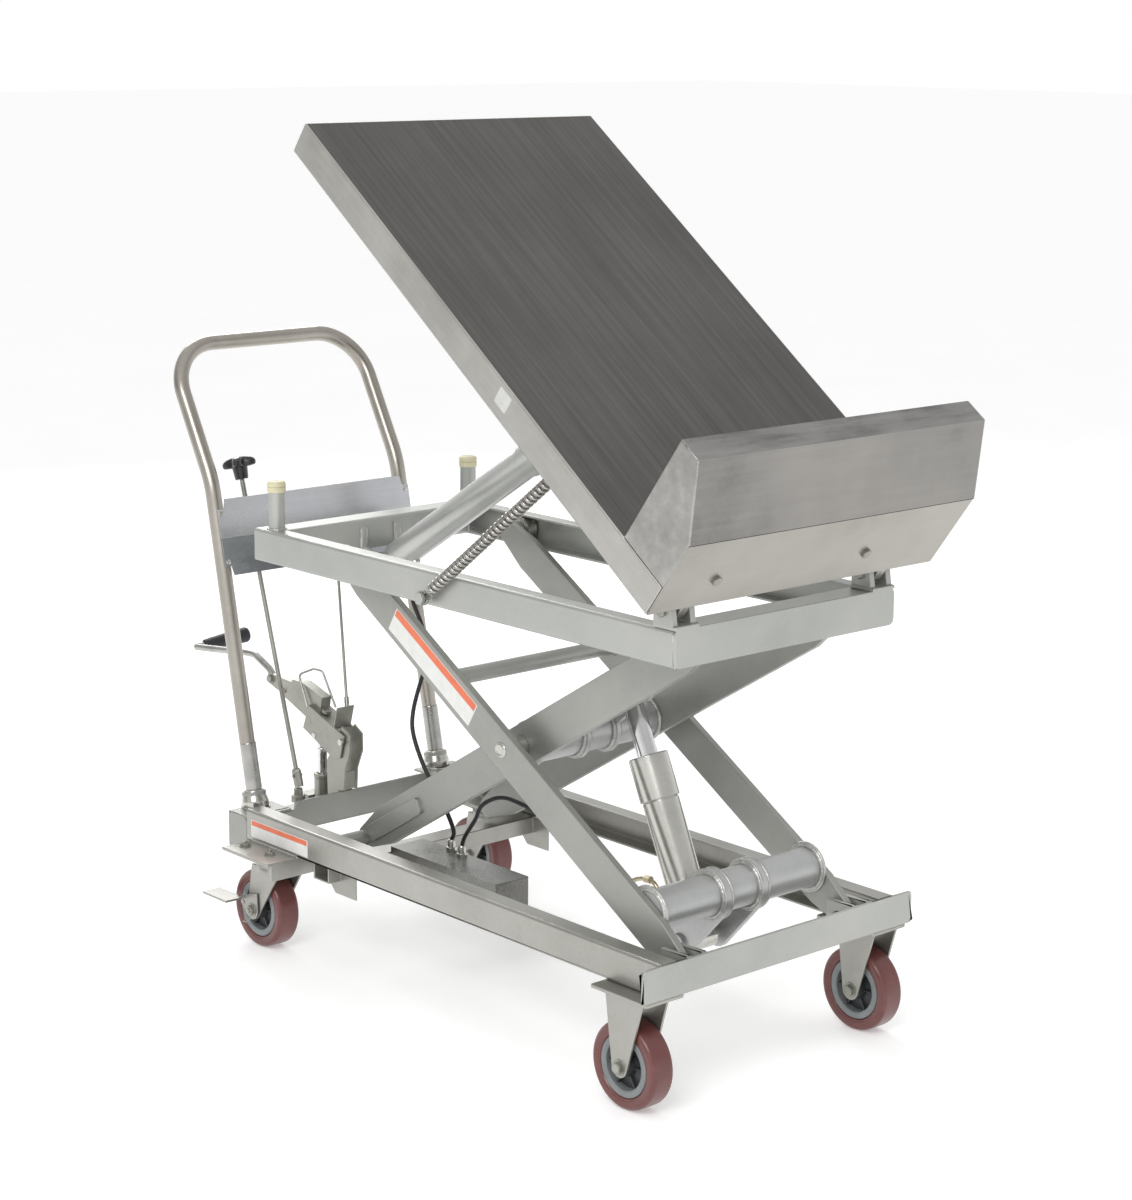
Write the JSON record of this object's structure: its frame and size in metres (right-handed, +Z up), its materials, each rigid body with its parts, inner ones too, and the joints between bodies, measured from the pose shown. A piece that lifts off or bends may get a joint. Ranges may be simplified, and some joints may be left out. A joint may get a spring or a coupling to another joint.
{
  "type": "tilting scissor lift table",
  "caption": "Hand-pumped mobile scissor lift table with a stainless top that tilts towards a raised lip, a push handle and braked swivel casters.",
  "frame": {"origin": "floor level, under the middle of the machine's box as it stands in the rest pose", "axes": "+X towards the end the top tips towards, -X towards the push handle, +Y to the far side, +Z up"},
  "size_m": [1.5208, 0.584, 1.321],
  "materials": {
    "galvanised": "galvanised, dull and faintly mottled",
    "stainless": "brushed, darkened",
    "polished_stainless": "ground and polished",
    "handle_stainless": "polished tube",
    "chrome": "hard chromed",
    "spring_steel": "bright wire",
    "tyre": "maroon polyurethane, satin",
    "hub": "grey moulded",
    "black_plastic": "moulded, slightly glossy",
    "hose": "smooth black",
    "cream": "nylon"
  },
  "bodies": {
    "base": {"lower_rail_near": "galvanised", "lower_rail_far": "galvanised", "front_cross_angle": "galvanised", "rear_crossmember": "galvanised", "mid_cross_tube": "galvanised", "handle_tube": "handle_stainless", "handle_panel": "galvanised", "valve_box": "galvanised", "pump_body": "galvanised", "pump_bracket": "galvanised", "front_fork_near": "galvanised", "front_fork_far": "galvanised", "tilt_hose": "hose", "lift_hose": "hose"},
    "outer_legs": {"outer_leg_near": "galvanised", "outer_leg_far": "galvanised", "lower_torque_tube": "galvanised", "cross_rod": "galvanised"},
    "inner_legs": {"inner_leg_near": "galvanised", "inner_leg_far": "galvanised", "upper_torque_tube": "galvanised"},
    "upper_frame": {"upper_rail_near": "galvanised", "upper_rail_far": "galvanised", "upper_front_angle": "galvanised", "upper_rear_beam": "galvanised", "bumper_cap_near": "cream", "bumper_cap_far": "cream"},
    "table": {"table_pan": "stainless", "toe_box": "polished_stainless"},
    "lift_cylinder": {"lift_barrel": "galvanised"},
    "lift_piston": {"lift_rod": "chrome"},
    "tilt_cylinder": {"tilt_barrel": "galvanised"},
    "tilt_piston": {"tilt_rod": "chrome"},
    "pedal": {"pump_lever": "galvanised", "pedal_bar": "chrome", "pedal_grip": "black_plastic"},
    "plunger": {"pump_plunger": "chrome"},
    "release_control": {"release_rod": "galvanised", "release_knob": "black_plastic"},
    "selector": {"selector_rod": "galvanised"},
    "hose_fitting": {"hose_end": "polished_stainless"},
    "spring_near": {"balance_spring_near": "spring_steel"},
    "upper_roller_near": {"upper_roller_near": "polished_stainless"},
    "lower_roller_near": {"lower_roller_near": "polished_stainless"},
    "front_wheel_near": {"front_near_tyre": "tyre", "front_near_hub": "hub"},
    "caster_near": {"swivel_fork_near": "galvanised"},
    "rear_wheel_near": {"rear_near_tyre": "tyre", "rear_near_hub": "hub"},
    "brake_near": {"brake_pedal_near": "galvanised"},
    "spring_far": {"balance_spring_far": "spring_steel"},
    "upper_roller_far": {"upper_roller_far": "polished_stainless"},
    "lower_roller_far": {"lower_roller_far": "polished_stainless"},
    "front_wheel_far": {"front_far_tyre": "tyre", "front_far_hub": "hub"},
    "caster_far": {"swivel_fork_far": "galvanised"},
    "rear_wheel_far": {"rear_far_tyre": "tyre", "rear_far_hub": "hub"},
    "brake_far": {"brake_pedal_far": "galvanised"}
  },
  "joints": [
    {"name": "lift", "type": "hinge", "parent": "base", "child": "outer_legs", "pos_m": [0.62957, 0, 0.195], "axis": [0, 1, 0], "range_deg": [-18.5, 12], "deforming": ["tilt_hose", "lift_hose"]},
    {"name": "leg_cross", "type": "hinge", "parent": "outer_legs", "child": "inner_legs", "pos_m": [0.24955, 0, 0.42451], "axis": [0, 1, 0], "range_deg": [-24.2, 37.2]},
    {"name": "frame_level", "type": "hinge", "parent": "inner_legs", "child": "upper_frame", "pos_m": [0.62957, 0, 0.65403], "axis": [0, 1, 0], "range_deg": [-18.6, 12.1]},
    {"name": "tilt", "type": "hinge", "parent": "upper_frame", "child": "table", "pos_m": [0.63257, 0, 0.70403], "axis": [0, 1, 0], "range_deg": [-36.5, 0], "deforming": ["balance_spring_near", "balance_spring_far"]},
    {"name": "lift_cylinder_turn", "type": "hinge", "parent": "outer_legs", "child": "lift_cylinder", "pos_m": [0.49556, 0, 0.165], "axis": [0, 1, 0], "range_deg": [-1.05, 1.51]},
    {"name": "lift_rod_slide", "type": "slide", "parent": "lift_cylinder", "child": "lift_piston", "axis": [-0.4201, 0, 0.9075], "range_m": [-0.07488, 0.04875]},
    {"name": "tilt_cylinder_turn", "type": "hinge", "parent": "upper_frame", "child": "tilt_cylinder", "pos_m": [-0.22643, 0, 0.611], "axis": [0, 1, 0], "range_deg": [-0.05, 15.53]},
    {"name": "tilt_rod_slide", "type": "slide", "parent": "tilt_cylinder", "child": "tilt_piston", "axis": [0.8519, 0, 0.5237], "range_m": [-0.18316, 0.0005]},
    {"name": "spring_near_turn", "type": "hinge", "parent": "upper_frame", "child": "spring_near", "pos_m": [0.14056, -0.2285, 0.642], "axis": [0, 1, 0], "range_deg": [-0.05, 15.28]},
    {"name": "upper_roller_near_spin", "type": "hinge", "parent": "outer_legs", "child": "upper_roller_near", "pos_m": [-0.13047, -0.2, 0.65403], "axis": [0, 1, 0], "continuous": true},
    {"name": "lower_roller_near_spin", "type": "hinge", "parent": "inner_legs", "child": "lower_roller_near", "pos_m": [-0.13047, -0.218, 0.195], "axis": [0, 1, 0], "continuous": true},
    {"name": "front_wheel_near_spin", "type": "hinge", "parent": "base", "child": "front_wheel_near", "pos_m": [0.60457, -0.233, 0.0635], "axis": [0, 1, 0], "continuous": true},
    {"name": "caster_near_swivel", "type": "hinge", "parent": "base", "child": "caster_near", "pos_m": [-0.24094, -0.225, 0.165], "axis": [0, 0, 1], "continuous": true},
    {"name": "rear_wheel_near_spin", "type": "hinge", "parent": "caster_near", "child": "rear_wheel_near", "pos_m": [-0.27193, -0.225, 0.0635], "axis": [0, 1, 0], "continuous": true},
    {"name": "brake_near_press", "type": "hinge", "parent": "caster_near", "child": "brake_near", "pos_m": [-0.27193, -0.254, 0.0635], "axis": [0, 1, 0], "range_deg": [-15, 0]},
    {"name": "spring_far_turn", "type": "hinge", "parent": "upper_frame", "child": "spring_far", "pos_m": [0.14056, 0.2285, 0.642], "axis": [0, 1, 0], "range_deg": [-0.05, 15.28]},
    {"name": "upper_roller_far_spin", "type": "hinge", "parent": "outer_legs", "child": "upper_roller_far", "pos_m": [-0.13047, 0.2, 0.65403], "axis": [0, 1, 0], "continuous": true},
    {"name": "lower_roller_far_spin", "type": "hinge", "parent": "inner_legs", "child": "lower_roller_far", "pos_m": [-0.13047, 0.218, 0.195], "axis": [0, 1, 0], "continuous": true},
    {"name": "front_wheel_far_spin", "type": "hinge", "parent": "base", "child": "front_wheel_far", "pos_m": [0.60457, 0.233, 0.0635], "axis": [0, 1, 0], "continuous": true},
    {"name": "caster_far_swivel", "type": "hinge", "parent": "base", "child": "caster_far", "pos_m": [-0.24094, 0.225, 0.165], "axis": [0, 0, 1], "continuous": true},
    {"name": "rear_wheel_far_spin", "type": "hinge", "parent": "caster_far", "child": "rear_wheel_far", "pos_m": [-0.27193, 0.225, 0.0635], "axis": [0, 1, 0], "continuous": true},
    {"name": "brake_far_press", "type": "hinge", "parent": "caster_far", "child": "brake_far", "pos_m": [-0.27193, 0.254, 0.0635], "axis": [0, 1, 0], "range_deg": [-15, 0]},
    {"name": "pedal_pump", "type": "hinge", "parent": "base", "child": "pedal", "pos_m": [-0.29444, -0.037, 0.303], "axis": [0, 1, 0], "range_deg": [-22, 0]},
    {"name": "plunger_slide", "type": "slide", "parent": "base", "child": "plunger", "axis": [0, 0, 1], "range_m": [-0.0293, 0.0005]},
    {"name": "release_turn", "type": "hinge", "parent": "base", "child": "release_control", "pos_m": [-0.32743, -0.12, 0.243], "axis": [-0.2885, 0, 0.9575], "range_deg": [-45, 45]},
    {"name": "selector_slide", "type": "slide", "parent": "base", "child": "selector", "axis": [-0.4027, 0.2326, 0.8853], "range_m": [-0.008, 0.008]},
    {"name": "hose_follow", "type": "slide", "parent": "base", "child": "hose_fitting", "axis": [0, 0, 1], "range_m": [-0.25074, 0.16282]}
  ],
  "couplings": [
    {"joint": "leg_cross", "follows": "lift", "ratio": -2},
    {"joint": "frame_level", "follows": "lift", "ratio": 1},
    {"joint": "lift_cylinder_turn", "follows": "lift", "ratio": -0.07076},
    {"joint": "lift_rod_slide", "follows": "lift", "m_per_rad": 0.23037},
    {"joint": "tilt_cylinder_turn", "follows": "tilt", "ratio": -0.4242},
    {"joint": "tilt_rod_slide", "follows": "tilt", "m_per_rad": 0.28673},
    {"joint": "spring_near_turn", "follows": "tilt", "ratio": -0.41735},
    {"joint": "spring_far_turn", "follows": "tilt", "ratio": -0.41735},
    {"joint": "plunger_slide", "follows": "pedal_pump", "m_per_rad": 0.075},
    {"joint": "hose_follow", "follows": "lift", "m_per_rad": 0.775}
  ]
}
